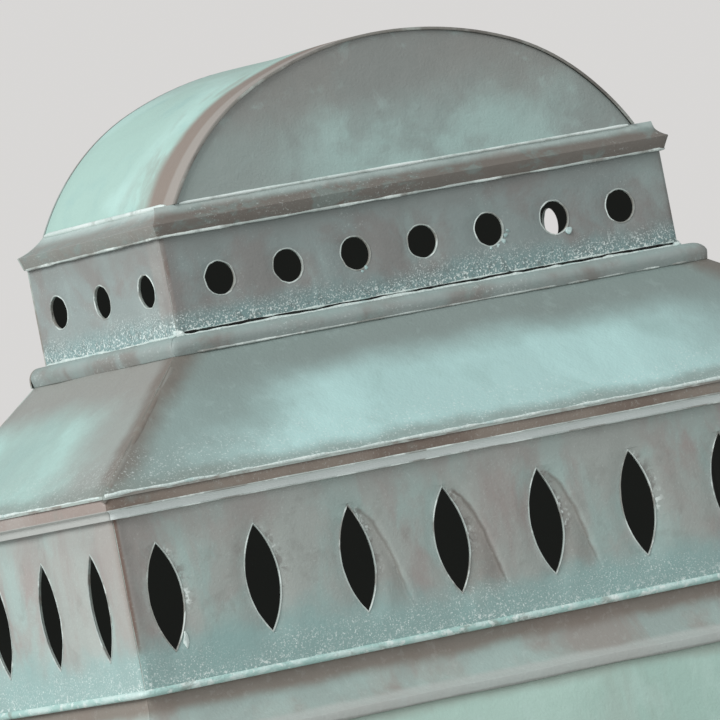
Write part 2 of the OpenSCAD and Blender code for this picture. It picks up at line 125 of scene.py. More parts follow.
def soften(piece, width, rounds=2, sharp=30, wanted=None):
    with edit_mode(piece):
        bpy.ops.mesh.select_mode(type="EDGE")
        bpy.ops.mesh.select_all(action="DESELECT")
        bpy.ops.mesh.edges_select_sharp(sharpness=math.radians(sharp))
    if wanted:
        spots = [v.co for v in piece.data.vertices]
        for edge in piece.data.edges:
            start, end = (spots[i] for i in edge.vertices)
            edge.select = edge.select and wanted((start + end) / 2, (end - start).normalized())
    with edit_mode(piece):
        bpy.ops.mesh.bevel(offset=width, segments=rounds, affect="EDGES", clamp_overlap=True)


def cut_rows(piece, axis, places):
    way = [0, 0, 0]
    way[axis] = 1
    with edit_mode(piece):
        for place in places:
            bpy.ops.mesh.select_all(action="SELECT")
            bpy.ops.mesh.bisect(plane_co=[place * w for w in way], plane_no=way, threshold=1e-6)


def spaced(low, high, pitch):
    count = max(1, round((high - low) / pitch))
    return [low + (high - low) * i / count for i in range(1, count)]


def ramp(gap, reach):
    return min(1, max(0, gap) / reach)


def wander(co, size, seed=0.0):
    return noise.noise(Vector((co.x / size + seed, co.y / size - seed, co.z / size + 2 * seed)))


def move_skin(piece, shift):
    for vertex in piece.data.vertices:
        vertex.co += shift(vertex.co.copy())
    piece.data.update()


def lay_paints(piece, paints, choose=None):
    for paint in paints:
        piece.data.materials.append(paint)
    if choose:
        for face in piece.data.polygons:
            face.material_index = choose(face)


def fit_piece(piece, slot, *nodes, body="cap"):
    pick(piece)
    bpy.ops.object.shade_smooth_by_angle(angle=math.radians(35))
    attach(piece, body)
    if nodes:
        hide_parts(*nodes)


def tone(red, green, blue):
    return [((c / 255 + 0.055) / 1.055) ** 2.4 for c in (red, green, blue)] + [1.0]


def set_inputs(tree, node, inputs):
    for label, value in inputs.items():
        if isinstance(value, bpy.types.NodeSocket):
            tree.links.new(value, node.inputs[label])
        else:
            node.inputs[label].default_value = value


def add_node(tree, kind, inputs, **settings):
    node = tree.nodes.new("ShaderNode" + kind)
    for label, value in settings.items():
        setattr(node, label, value)
    set_inputs(tree, node, inputs)
    return node


def sum_step(tree, operation, *values):
    return add_node(tree, "Math", dict(enumerate(values)), operation=operation).outputs[0]


def vector_step(tree, operation, *values):
    step = add_node(tree, "VectorMath", dict(enumerate(values)), operation=operation)
    return step.outputs["Value" if operation == "DOT_PRODUCT" else "Vector"]


def new_group(name, output, **inputs):
    group = bpy.data.node_groups.new(name, "ShaderNodeTree")
    for label, value in inputs.items():
        kind = "NodeSocketVector" if isinstance(value, tuple) else "NodeSocketFloat"
        group.interface.new_socket(label, in_out="INPUT", socket_type=kind).default_value = value
    group.interface.new_socket(output, in_out="OUTPUT", socket_type="NodeSocketFloat")
    return group, group.nodes.new("NodeGroupInput").outputs, group.nodes.new("NodeGroupOutput")


# Soft verdigris clouds, or streaks where Stretch is small along one axis
cloud, given, result = new_group("patina_cloud", "Mask", Vector=(0, 0, 0), Stretch=(1, 1, 1),
                                 Shift=(0, 0, 0), Size=30, Low=0.4, High=0.6)
squeeze = vector_step(cloud, "MULTIPLY", given["Vector"], given["Stretch"])
puff = add_node(cloud, "TexNoise", {
    "Vector": vector_step(cloud, "ADD", squeeze, given["Shift"]), "Scale": given["Size"],
    "Detail": 6, "Roughness": 0.6, "Distortion": 0.35})
spread = add_node(cloud, "MapRange", {"Value": puff.outputs["Fac"], "From Min": given["Low"],
                                      "From Max": given["High"]}, interpolation_type="SMOOTHSTEP")
set_inputs(cloud, result, {"Mask": spread.outputs["Result"]})

# A ragged zone: full up to Level along Axis, and gone Reach further on
zone, given, result = new_group("patina_zone", "Mask", Vector=(0, 0, 0), Axis=(0, 0, 1), Level=0,
                                Reach=0.01, Ragged=0.5, Size=120)
along = vector_step(zone, "DOT_PRODUCT", given["Vector"], given["Axis"])
part_way = sum_step(zone, "DIVIDE", sum_step(zone, "SUBTRACT", along, given["Level"]), given["Reach"])
tatter = add_node(zone, "TexNoise", {"Vector": given["Vector"], "Scale": given["Size"], "Detail": 5,
                                     "Roughness": 0.65})
centred = sum_step(zone, "SUBTRACT", tatter.outputs["Fac"], 0.5)
ragged_by = sum_step(zone, "MULTIPLY", sum_step(zone, "MULTIPLY", centred, given["Ragged"]), 3.0)
fall = add_node(zone, "MapRange", {"Value": sum_step(zone, "ADD", part_way, ragged_by), "To Min": 1,
                                   "To Max": 0}, interpolation_type="SMOOTHSTEP")
set_inputs(zone, result, {"Mask": fall.outputs["Result"]})

# Slow waves of hand-worked sheet, pits in the patina and its fine powdery grain
relief, given, result = new_group("sheet_relief", "Height", Vector=(0, 0, 0), Wave=0.4, Pit=0.15, Grain=0.1)
shares = []
for label, size, detail in (("Wave", 38, 2), ("Pit", 330, 4), ("Grain", 1500, 2)):
    layer = add_node(relief, "TexNoise", {"Vector": given["Vector"], "Scale": size, "Detail": detail})
    shares.append(sum_step(relief, "MULTIPLY", layer.outputs["Fac"], given[label]))
total = sum_step(relief, "ADD", sum_step(relief, "ADD", shares[0], shares[1]), shares[2])
set_inputs(relief, result, {"Height": total})


def clouds(size, low=0.4, high=0.6, stretch=(1, 1, 1), shift=(0, 0, 0)):
    return cloud, {"Size": size, "Low": low, "High": high, "Stretch": stretch, "Shift": shift}


def reaches(level, reach, ragged=0.5, size=120, axis=(0, 0, 1)):
    return zone, {"Level": level, "Reach": reach, "Axis": axis, "Ragged": ragged, "Size": size}


def hangs(level, reach, ragged=0.5, size=120):
    return reaches(-level, reach, ragged, size, (0, 0, -1))


# Each coat is its colour, how much of it shows, and the masks whose product says where
def copper_finish(name, base, coats, rough=(0.5, 0.72), waves=(0.5, 0.16, 0.1), metal=0.0, shine=0.4):
    paint = bpy.data.materials.new(name)
    paint.use_nodes = True
    tree = paint.node_tree
    place = tree.nodes.new("ShaderNodeTexCoord").outputs["Object"]

    def mask(kind):
        group, values = kind
        return add_node(tree, "Group", {**values, "Vector": place}, node_tree=group).outputs[0]

    last = tone(*base)
    for colour, amount, *kinds in coats:
        share = sum_step(tree, "MULTIPLY", mask(kinds[0]), amount)
        for kind in kinds[1:]:
            share = sum_step(tree, "MULTIPLY", share, mask(kind))
        blend = add_node(tree, "Mix", {"Factor": share, "A": last, "B": tone(*colour)}, data_type="RGBA")
        last = blend.outputs["Result"]
    dull = add_node(tree, "MapRange", {"Value": mask(clouds(170, 0.3, 0.7)), "To Min": rough[0],
                                       "To Max": rough[1]})
    height = mask((relief, dict(zip(("Wave", "Pit", "Grain"), waves))))
    bump = add_node(tree, "Bump", {"Strength": 0.7, "Distance": 0.0011, "Height": height})
    set_inputs(tree, tree.nodes["Principled BSDF"], {
        "Base Color": last, "Roughness": dull.outputs["Result"], "Normal": bump.outputs["Normal"],
        "Metallic": metal, "Specular IOR Level": shine})
    return paint


mint, pale_mint, teal, white_salt = (168, 199, 190), (184, 218, 211), (146, 184, 182), (226, 236, 232)
grey_brown = (146, 146, 141)
vault_low, vault_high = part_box("vault_sheet")
vault_front, crown = vault_low.y, vault_high.z
vault_mint = copper_finish("vault_mint", mint, [
    (pale_mint, 0.7, clouds(26, 0.42, 0.66)),
    (teal, 0.35, clouds(75, 0.52, 0.72)),
    (grey_brown, 0.3, hangs(crown - 0.001, 0.006, 0.5, 45)),
    ((134, 110, 101), 0.85, reaches(vault_front + 0.0112, 0.0045, 0.35, 30, (0, 1, 0))),
    ((140, 126, 118), 0.35, clouds(52, 0.5, 0.62, (1, 1.7, 0.5), (3, 0, 0)),
     reaches(vault_front + 0.016, 0.012, 0.6, 30, (0, 1, 0))),
    ((160, 155, 149), 0.8, reaches(vault_front + 0.0048, 0.0016, 0.25, 60, (0, 1, 0))),
    ((112, 110, 105), 0.6, reaches(vault_front + 0.0004, 0.0008, 0.3, 200, (0, 1, 0)))])
lunette_paint = copper_finish("lunette_patina", (146, 158, 154), [
    ((164, 190, 185), 0.95, reaches(vault_low.z + 0.014, 0.014, 0.2, 40),
     reaches(0.028, 0.03, 0.25, 24, (1, 0, 0)), reaches(0.012, 0.03, 0.25, 24, (-1, 0, 0))),
    ((136, 134, 130), 0.8, hangs(vault_low.z + 0.022, 0.016, 0.6, 38)),
    ((134, 140, 137), 0.55, clouds(34, 0.48, 0.64, shift=(2, 0, 0))),
    ((170, 194, 189), 0.4, clouds(120, 0.55, 0.72))], rough=(0.42, 0.62))
vault_edge = copper_finish("vault_edge", (126, 124, 118), [
    ((170, 178, 172), 0.7, clouds(60, 0.52, 0.64)),
    ((96, 92, 87), 0.7, clouds(90, 0.5, 0.62, shift=(2, 5, 0)))], rough=(0.35, 0.6))
# Painted shade: inner and hidden faces get a near-black colour for the shade inside the cap, with a faint
# emission standing in for light that comes in through the holes.
inside_shade_glow = copper_finish("inside_shade_glow", (26, 28, 25), [
    ((40, 42, 38), 0.5, clouds(90, 0.45, 0.7))], rough=(0.8, 0.95), shine=0.1)
set_inputs(inside_shade_glow.node_tree, inside_shade_glow.node_tree.nodes["Principled BSDF"],
           {"Emission Color": (0.92, 1.0, 0.9, 1), "Emission Strength": 0.011})
cut_edge = copper_finish("cut_edge", (170, 182, 176), [
    ((136, 128, 120), 0.8, clouds(90, 0.46, 0.6)),
    ((206, 216, 211), 0.5, clouds(140, 0.52, 0.66))], rough=(0.35, 0.6))

vault = sheet_copy("vault_sheet")
soften(vault, 0.0002, wanted=lambda spot, way: abs(spot.y - vault_front) < 0.0003 and abs(way.y) < 0.5)
cut_rows(vault, 1, [vault_front + s for s in (0.0016, 0.0034)] + spaced(vault_front, vault_high.y, 0.0045))


def vault_dents(co):
    along = min(1.0, (co.y - vault_front) / 0.01) * min(1.0, (vault_high.y - co.y) / 0.01)
    up = ramp(co.z - vault_low.z, 0.01)
    from_axis = Vector((co.x, 0, (co.z - vault_low.z) + 0.02)).normalized()
    back_fade = ramp(vault_high.y - co.y, 0.012)
    dent = 0.00055 * wander(co, 0.03, 4.1) * (0.25 + 0.75 * along) * up
    return from_axis * back_fade * (dent - 0.0002 * up)


def vault_side(face):
    out = face.center.x * face.normal.x + (face.center.z - vault_low.z + 0.01) * face.normal.z
    if abs(face.normal.y) > 0.3:
        return 1
    return 0 if out > 0 else 2


lay_paints(vault, [vault_mint, vault_edge, inside_shade_glow], vault_side)
move_skin(vault, vault_dents)
fit_piece(vault, "copper_mint", "vault_sheet")

for node, face_way in (("front_lunette", -1), ("back_lunette", 1)):
    lunette = sheet_copy(node)
    low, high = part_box(node)
    cut_rows(lunette, 0, spaced(low.x, high.x, 0.004))
    cut_rows(lunette, 2, spaced(low.z, high.z, 0.004))

    def belly(co):
        in_x = 1 - (co.x / high.x) ** 2
        lift = (co.z - low.z) / (high.z - low.z)
        swell = max(0.0, in_x - lift) * lift * 2.2
        dents = 0.0003 * wander(co, 0.026, 2.3) * min(1, 3 * swell)
        return Vector((0, face_way * (0.0004 * swell + dents), 0))

    lay_paints(lunette, [lunette_paint, inside_shade_glow], lambda face: int(face.normal.y * face_way <= -0.5))
    move_skin(lunette, belly)
    fit_piece(lunette, "copper_grey", node)


# Seams at the lunette's and the vault's feet: soft solder wiped into the joint with the eave.
# Each is a thin rod cut in short lengths, whose thickness and height wander a little.
def solder_rod(name, start, end, thick, lumps=0.35, pitch=0.0022, seed=0.0):
    start, end = Vector(start), Vector(end)
    length = (end - start).length
    deselect()
    bpy.ops.mesh.primitive_cylinder_add(vertices=12, radius=thick, depth=length,
                                        location=(0, 0, length / 2))
    rod = bpy.context.object
    rod.name = rod.data.name = name
    bpy.ops.object.transform_apply(location=True, rotation=True, scale=True)
    cut_rows(rod, 2, spaced(0, length, pitch))
    turn_to = (end - start).to_track_quat("Z", "Y")
    for vertex in rod.data.vertices:
        end_taper = min(1.0, (min(vertex.co.z, length - vertex.co.z) + 0.0002) / (2 * thick))
        spot = turn_to @ vertex.co + start
        swell = 1 + lumps * 2 * wander(spot, 0.004, seed) + lumps * wander(spot, 0.0012, seed + 5)
        wide = max(0.25, swell) * (0.35 + 0.65 * end_taper)
        vertex.co = turn_to @ Vector((vertex.co.x * wide, vertex.co.y * wide, vertex.co.z)) + start
    rod.data.update()
    return rod


def front_rod(name, half, front, height, thick, lumps, pitch, seed):
    return solder_rod(name, (-half, front, height), (half, front, height), thick, lumps, pitch, seed)


def lay_seam(piece, paint, slot):
    lay_paints(piece, [paint])
    fit_piece(piece, slot)


def solder_lump(name, centre, size, seed, stretch=(1, 0.55, 1)):
    deselect()
    bpy.ops.mesh.primitive_ico_sphere_add(subdivisions=3, radius=size, location=centre)
    lump = bpy.context.object
    lump.name = lump.data.name = name
    bpy.ops.object.transform_apply(location=True, rotation=True, scale=True)
    centre = Vector(centre)
    for vertex in lump.data.vertices:
        arm = vertex.co - centre
        grow = 1 + 0.8 * wander(vertex.co, size * 1.4, seed) + 0.15 * wander(vertex.co, size * 0.5, seed + 3)
        vertex.co = centre + Vector([a * s for a, s in zip(arm, stretch)]) * max(0.3, grow)
    lump.data.update()
    return lump


def edge_line(name, half, front, back, height, radius, thick, lumps=0.3, seed=0.0, pitch=0.0018):
    side_run, front_run, bend = back - front - radius, 2 * (half - radius), radius * math.pi / 2
    total = 2 * side_run + 2 * bend + front_run
    line = solder_rod(name, (0, 0, 0), (0, 0, total), thick, 0.0, pitch)

    def place(run):
        side = math.copysign(1, run - total / 2)
        from_bend = abs(run - total / 2) - front_run / 2
        if from_bend < 0:
            return Vector((side * (from_bend + front_run / 2), front)), Vector((0, -1))
        if from_bend < bend:
            way = Vector((side * math.sin(from_bend / radius), -math.cos(from_bend / radius)))
            return Vector((side * (half - radius), front + radius)) + way * radius, way
        return Vector((side * half, front + radius + from_bend - bend)), Vector((side, 0))

    for vertex in line.data.vertices:
        spot, way = place(min(max(vertex.co.z, 0), total))
        spot = Vector((spot.x, spot.y, height))
        slow, quick = wander(spot, 0.009, seed), wander(spot, 0.0021, seed + 5)
        wide = max(0.15, 1 + lumps * (2.2 * slow + 1.4 * quick))
        lift = thick * lumps * wander(spot, 0.005, seed + 9)
        aside = Vector((way.x, way.y, 0)) * vertex.co.x * wide
        vertex.co = spot + aside + Vector((0, 0, vertex.co.y * wide + lift))
    line.data.update()
    return line


bright_solder = copper_finish("bright_solder", (206, 220, 216), [
    (white_salt, 0.8, clouds(500, 0.48, 0.62)),
    (teal, 0.5, clouds(240, 0.54, 0.68))], rough=(0.4, 0.65), waves=(0.3, 0.6, 0.4))
# Pale edge colour, part wear and part painted highlight: it lines lips, edges and hole rims where they catch
# the light.
highlit_worn_edge = copper_finish("highlit_worn_edge", (182, 192, 188), [
    ((140, 140, 134), 0.85, clouds(90, 0.46, 0.6)),
    (white_salt, 0.8, clouds(130, 0.52, 0.62, shift=(3, 3, 0)))], rough=(0.3, 0.5), waves=(0.3, 0.4, 0.2))
wiped_solder = copper_finish("wiped_solder", (204, 218, 214), [
    ((226, 236, 233), 0.8, clouds(60, 0.4, 0.56)),
    ((158, 168, 162), 0.5, clouds(150, 0.54, 0.66))], rough=(0.35, 0.5), waves=(0.3, 0.2, 0.1))
eave_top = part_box("eave_front")[1].z
lunette_low, lunette_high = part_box("front_lunette")
foot_rod = front_rod("lunette_foot_solder", lunette_high.x - 0.0008, lunette_low.y - 0.0001, eave_top,
                     0.00036, 0.15, 0.0022, 1.5)
lay_seam(foot_rod, wiped_solder, "copper_grey")
for side, name in ((-1, "left"), (1, "right")):
    foot_x = side * (vault_high.x + 0.00005)
    side_rod = solder_rod("vault_foot_solder_" + name, (foot_x, vault_front + 0.004, eave_top + 0.0001),
                          (foot_x, vault_high.y - 0.0005, eave_top + 0.0001), 0.0006, 0.06, seed=2.5 + side)
    lay_seam(side_rod, wiped_solder, "copper_grey")


# Eave moulding: brown copper folded into a cove and a small fascia round three sides of the
# cupola, mitred and soldered at the front corners, with a bright lip along its foot, part worn and
# part painted highlight. The cove is darkened as painted shade, a pale band along the top is a
# painted highlight, and the side strips use a lighter, lit copy of the finish.
def roll_mitre(piece, half, front, radius, is_side, held=None):
    for vertex in piece.data.vertices:
        sign = 1 if vertex.co.x > 0 else -1
        side_out, front_out = abs(vertex.co.x) - half, front - vertex.co.y
        on_side = side_out > front_out if is_side is None else is_side
        out, along = (side_out, front_out) if on_side else (front_out, side_out)
        bend = along - out + radius
        if bend <= 0:
            continue
        turn = min(1.0, bend / radius) * math.pi / 4
        keep = min(1.0, max(0.0, 1 + out / held)) if held else 1.0
        along += keep * (out - radius + radius * math.sin(turn) - along)
        out += keep * (radius * math.cos(turn) - radius)
        side_out, front_out = (out, along) if on_side else (along, out)
        vertex.co.x = sign * (half + side_out)
        vertex.co.y = front - front_out
    piece.data.update()


def outward(co, amount, is_side):
    return Vector((math.copysign(1, co.x) * amount, 0, 0)) if is_side else Vector((0, -amount, 0))


def sides_of(tier, ways=("front", "left", "right")):
    return [(tier + "_" + way, way in ("left", "right")) for way in ways]


def strip_cuts(low, high, radius, is_side):
    bend = [radius * i / 6 for i in range(7)]
    if is_side:
        return [low.y + b for b in bend] + spaced(low.y + radius, high.y, 0.004)
    return ([low.x + b for b in bend] + spaced(low.x + radius, high.x - radius, 0.004)
            + [high.x - b for b in bend])


def work_strip(node, half, front, radius, paint, slot, wave, bevel=0.00022, reach=0.004, held=None):
    is_side = not node.endswith("front")
    strip = sheet_copy(node)
    low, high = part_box(node)
    soften(strip, bevel, 3, wanted=lambda spot, way: abs(way.y if is_side else way.x) > 0.99)
    cuts = strip_cuts(low, high, radius + reach, is_side)
    cut_rows(strip, 1 if is_side else 0, cuts)
    lay_paints(strip, [paint])
    roll_mitre(strip, half, front, radius, is_side, held)

    def wave_skin(co):
        amount = wave * wander(co, 0.022, 1.7) + 0.35 * wave * wander(co, 0.006, 7.7)
        amount *= ramp(high.y - co.y, 0.01) if is_side else 1
        return outward(co, amount, is_side)

    move_skin(strip, wave_skin)
    fit_piece(strip, slot, node)
    return strip


wall_low, wall_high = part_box("cupola_front")
cupola_half, cupola_front, cupola_back = -wall_low.x, wall_low.y, wall_low.y + 0.0625
eave_low, eave_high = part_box("eave_front")
cupola_bend = 0.0015


# Raises every channel; the side finishes use it to make lighter, lit copies, which is painted light.
def lighter_by(lift):
    return lambda *tint: tuple(t + lift for t in tint)


def eave_finish(name, lift):
    lifted = lighter_by(lift)
    return copper_finish(name, lifted(146, 158, 154), [
        (lifted(136, 130, 124), 0.6, clouds(60, 0.45, 0.62, (1, 1, 0.6))),
        # Painted shade: the lower part, the cove, is darkened brown in its hollow, part copper colour and
        # part shade.
        (lifted(112, 104, 97), 0.9 - lift / 50, reaches(eave_low.z + 0.0042, 0.0014, 0.25, 90)),
        (lifted(124, 140, 136), 0.6, clouds(150, 0.5, 0.64, (1, 1, 2))),
        (white_salt, 0.3, clouds(1900, 0.58, 0.66), clouds(60, 0.42, 0.6, shift=(5, 1, 0))),
        # Painted highlight: a pale band along the top edge.
        ((190, 206, 202), 0.55, hangs(eave_high.z - 0.0006, 0.0012, 0.4, 120))])


# The side copy is lighter by 15 throughout: painted light for the side strips.
eave_paint, lit_side_eave_paint = eave_finish("eave_patina", 0), eave_finish("eave_side_lit_patina", 15)
for node, is_side in sides_of("eave"):
    paint = lit_side_eave_paint if is_side else eave_paint
    work_strip(node, cupola_half, cupola_front, cupola_bend, paint, "copper_brown", 0.00022, 0.0004,
               held=0.0008)
lip = edge_line("eave_lip", cupola_half + 0.0008, cupola_front - 0.0008, cupola_back, eave_low.z + 0.0001,
                cupola_bend, 0.0003, 0.3, 4.4)
lay_seam(lip, highlit_worn_edge, "copper_brown")


# Cupola walls: three folded grey-green sheets with round vents punched through. The corners
# are folded round and soldered; teal crust and white salts grow where water stands at the foot.
foot, top = wall_low.z, wall_high.z
vent_pitch, side_vent_pitch, middle_side_vent = 0.0179, 0.0209, 0.0151
vent_height, vent_radius = 0.1568, 0.0038
front_vents = [vent_pitch * (i - 3) for i in range(7)]
side_vents = [middle_side_vent + side_vent_pitch * (i - 1) for i in range(3)]


def sheet_side(is_side):
    def choose(face):
        facing_out = face.normal.x * math.copysign(1, face.center.x) if is_side else -face.normal.y
        return 0 if facing_out > 0.95 else 2 if facing_out < -0.95 else 1
    return choose


def hole_edges(half, low, high, is_side):
    def wanted(spot, way):
        if not low.z + 0.002 < spot.z < high.z - 0.002:
            return False
        if is_side:
            return abs(spot.x) < half + 0.001 and low.y + 0.003 < spot.y < high.y - 0.002
        return abs(spot.x) < half - 0.004 and low.y - 0.001 < spot.y
    return wanted


def corner_strip(half, front, wide, is_side):
    if is_side:
        return [((168, 166, 161), 0.6, reaches(front + wide, 0.002, 0.3, 50, (0, 1, 0))),
                ((140, 128, 120), 0.5, reaches(front + 0.0005, 0.0016, 0.3, 60, (0, 1, 0)))]
    # On a front sheet: a darker band beside each rounded corner is painted shade where the sheet turns away,
    # with a thin brown line at the fold.
    strip = []
    for way in (1, -1):
        strip += [((108, 104, 100), 0.5, reaches(-half + 0.001, 0.0045, 0.4, 40, (way, 0, 0))),
                  ((106, 86, 76), 0.9, reaches(-half + 0.001, 0.0007, 0.15, 60, (way, 0, 0)))]
    return strip


def wall_finish(name, lift):
    lifted = lighter_by(lift)
    strip = corner_strip(cupola_half, cupola_front, 0.005, lift > 0)
    return copper_finish(name, lifted(137, 148, 146), strip + [
        (lifted(131, 128, 125), 0.8, clouds(44, 0.45, 0.6)),
        (lifted(152, 170, 167), 0.6, clouds(62, 0.5, 0.66, (1, 1, 0.45), (1, 0, 0))),
        (lifted(120, 123, 120), 0.5, hangs(top - 0.003, 0.006, 0.6, 60)),
        (lifted(120, 152, 152), 0.75, reaches(foot + 0.0016, 0.006, 0.5, 70)),
        (lifted(108, 120, 118), 0.6, clouds(700, 0.5, 0.6), reaches(foot + 0.002, 0.005, 0.5, 90)),
        (white_salt, 0.95, clouds(2600, 0.54, 0.62), reaches(foot + 0.0018, 0.0062, 0.6, 90)),
        (white_salt, 0.85, clouds(1300, 0.55, 0.62), reaches(foot + 0.0012, 0.003, 0.6, 120)),
        (white_salt, 0.2, clouds(2100, 0.6, 0.66), clouds(40, 0.46, 0.6, shift=(0, 3, 0)))])


# The side copy is lighter by 12 throughout: painted light for the side sheets.
wall_paint, lit_side_wall_paint = wall_finish("cupola_wall", 0), wall_finish("cupola_lit_side_wall", 12)


def corner_fade(co, half, front, is_side):
    gap = co.y - front if is_side else half - abs(co.x)
    return ramp(gap - 0.0015, 0.004)


def pierced_wall(node, half, front, bend, bevel, cuts, row_pitch, paint):
    is_side = not node.endswith("front")
    wall = sheet_copy(node)
    low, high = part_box(node)
    soften(wall, bevel, wanted=hole_edges(half, low, high, is_side))
    cut_rows(wall, 1 if is_side else 0, strip_cuts(low, high, bend, is_side) + cuts)
    cut_rows(wall, 2, spaced(low.z, high.z, row_pitch))
    lay_paints(wall, [paint, cut_edge, inside_shade_glow], sheet_side(is_side))
    roll_mitre(wall, half, front, bend, is_side)
    return wall, low, high


def press_vents(wall, spots, is_side):
    for vertex in wall.data.vertices:
        along = vertex.co.y if is_side else vertex.co.x
        sink = 0.0
        for spot in spots:
            off, rise = (along - spot) / vent_radius, (vertex.co.z - vent_height) / vent_radius
            gap = max(0.0, math.hypot(off, rise) - 1)
            sink += 0.00045 * math.exp(-(gap / 0.5) ** 2)
        vertex.co += outward(vertex.co, -sink, is_side)
    wall.data.update()


def hole_ring(name, wide, thin, around, place):
    deselect()
    bpy.ops.mesh.primitive_torus_add(major_radius=wide, minor_radius=thin, major_segments=around,
                                     minor_segments=8)
    ring = bpy.context.object
    ring.name = ring.data.name = name
    for vertex in ring.data.vertices:
        vertex.co = place(vertex.co)
    with edit_mode(ring):
        bpy.ops.mesh.select_all(action="SELECT")
        bpy.ops.mesh.normals_make_consistent(inside=False)
    lay_seam(ring, highlit_worn_edge, "copper_grey")


for node, is_side in sides_of("cupola"):
    spots = side_vents if is_side else front_vents
    cuts = [x + s for x in spots for s in (-0.0062, -0.0046, 0.0046, 0.0062)]
    wall, low, high = pierced_wall(node, cupola_half, cupola_front, cupola_bend, 0.00015, cuts, 0.003,
                                   lit_side_wall_paint if is_side else wall_paint)
    press_vents(wall, spots, is_side)

    def wall_wave(co):
        amount = 0.0005 * wander(co, 0.02, 6.0)
        amount *= min(1, (co.z - foot) / 0.004) * ramp(top - co.z, 0.004)
        amount *= corner_fade(co, cupola_half, cupola_front, is_side)
        if is_side:
            amount *= ramp(high.y - co.y, 0.008)
        return outward(co, -amount, is_side)

    move_skin(wall, wall_wave)
    fit_piece(wall, "copper_grey", node)

    side = -1 if node.endswith("left") else 1
    for number, spot in enumerate(spots):
        def burr_place(co):
            off, rise, out = co
            swell = 1 + 0.05 * noise.noise(Vector((off * 700, rise * 700, number * 3.1 + side)))
            out = out * 1.1 - 0.0005
            off, rise = spot + off * swell, vent_height + rise * swell
            here = Vector((side * (cupola_half + out), off, rise) if is_side
                          else (off, cupola_front - out, rise))
            return here + wall_wave(here)

        hole_ring("%s_burr_%d" % (node, number), 0.00392, 0.00019, 40, burr_place)

drop_paint = copper_finish("drip_verdigris", (160, 186, 184), [
    ((196, 214, 211), 0.8, clouds(260, 0.46, 0.6)),
    ((130, 146, 143), 0.5, clouds(400, 0.54, 0.66))], rough=(0.3, 0.5), waves=(0.2, 0.3, 0.1))
for number, (vent, turn, off, size) in enumerate((
        (2, -60, 0.0042, 0.0005), (2, -80, 0.0044, 0.0004), (4, -12, 0.0049, 0.00045),
        (4, -27, 0.0046, 0.0005), (4, -45, 0.0046, 0.0005), (4, -68, 0.0043, 0.00042),
        (4, -95, 0.0043, 0.0004), (5, -50, 0.0046, 0.0008))):
    way = math.radians(turn)
    drop_at = (front_vents[vent] + off * math.cos(way), cupola_front + 0.0002,
               vent_height + off * math.sin(way))
    drop = solder_lump("vent_solder_%d" % number, drop_at, size, 2.2 * number + 0.4, (1, 0.5, 1))
    lay_seam(drop, drop_paint, "copper_grey")


# Curb and foot seam: a rounded strip under the cupola wall that laps over the roof. The wall's
# foot stands on it in an open joint, with solder wiped ragged along the front.
curb_low, curb_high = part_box("curb_front")
curb_paint = copper_finish("curb_patina", (148, 159, 156), [
    ((132, 128, 123), 0.8, clouds(48, 0.44, 0.6, (1, 1, 0.7))),
    ((142, 160, 156), 0.5, clouds(90, 0.5, 0.64)),
    (white_salt, 0.4, clouds(1600, 0.57, 0.65), clouds(50, 0.45, 0.6)),
    ((150, 172, 168), 0.45, hangs(curb_high.z - 0.0004, 0.0014, 0.6, 140))])
for node, is_side in sides_of("curb"):
    curb = work_strip(node, cupola_half, cupola_front, 0.002, curb_paint, "copper_brown", 0.00028)
    for vertex in curb.data.vertices:
        tuck = max(0.0, 1 - (vertex.co.z - curb_low.z) / 0.0022)
        vertex.co += outward(vertex.co, -0.0006 * tuck, is_side)
gap_shade_dark = copper_finish("gap_shade_dark", (30, 32, 30), [((58, 66, 62), 0.5, clouds(240, 0.46, 0.6))],
                          rough=(0.8, 0.95), shine=0.1)
# The near-black gap rod is painted shade standing for the open joint under the wall's foot.
for name, out, height, thick, lumps, paint in (
        ("gap", 0.00006, foot + 0.0006, 0.00034, 0.55, gap_shade_dark),
        ("upper", 0.0001, foot + 0.001, 0.00016, 0.9, bright_solder),
        ("wipe", 0.0009, foot + 0.00005, 0.00026, 0.5, bright_solder),
        ("skirting", 0.0043, curb_low.z + 0.0003, 0.00022, 0.4, highlit_worn_edge)):
    seam = front_rod("cupola_foot_" + name, cupola_half - 0.002, cupola_front - out, height, thick, lumps,
                     0.0012, 5.0 + out * 9000)
    lay_seam(seam, paint, "copper_grey")
under = edge_line("cupola_foot_under", cupola_half + 0.0004, cupola_front - 0.0004, cupola_back,
                  foot + 0.00016, cupola_bend + 0.0004 / 3, 0.0003, 0.7, 5.8)
lay_seam(under, bright_solder, "copper_grey")
for side, name in ((-1, "left"), (1, "right")):
    heel_at = (side * (cupola_half - 0.0008), cupola_front + 0.0008, foot + 0.0004)
    heel = solder_lump("cupola_heel_" + name, heel_at, 0.0014, 6.3 + side, (1, 1, 0.6))
    lay_seam(heel, bright_solder, "copper_grey")


# Hip roof: three flat mint panels that fall from the curb to the cornice and meet in soldered
# hips. Brown shows through beside the hips, a darker band under the curb is painted shadow, and
# solder edges the drip.
roof_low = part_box("hip_front")[0]
side_low, side_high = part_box("hip_left")
drip_front, drip_side = roof_low.y, -side_low.x
roof_top, curb_reach = 0.141, 0.0042
front_slope, side_slope = Vector((0, -0.699, 0.715)), Vector((0.568, 0, 0.823))
hip_top = Vector((-cupola_half - curb_reach, cupola_front - curb_reach, roof_top))
hip_foot = Vector((-drip_side, drip_front, roof_low.z))
hip_way = Vector((hip_foot.x - hip_top.x, hip_foot.y - hip_top.y, 0)).normalized()
across = Vector((-hip_way.y, hip_way.x, 0))
across = across if across.x > 0 else -across
hip_level = hip_top.dot(across)


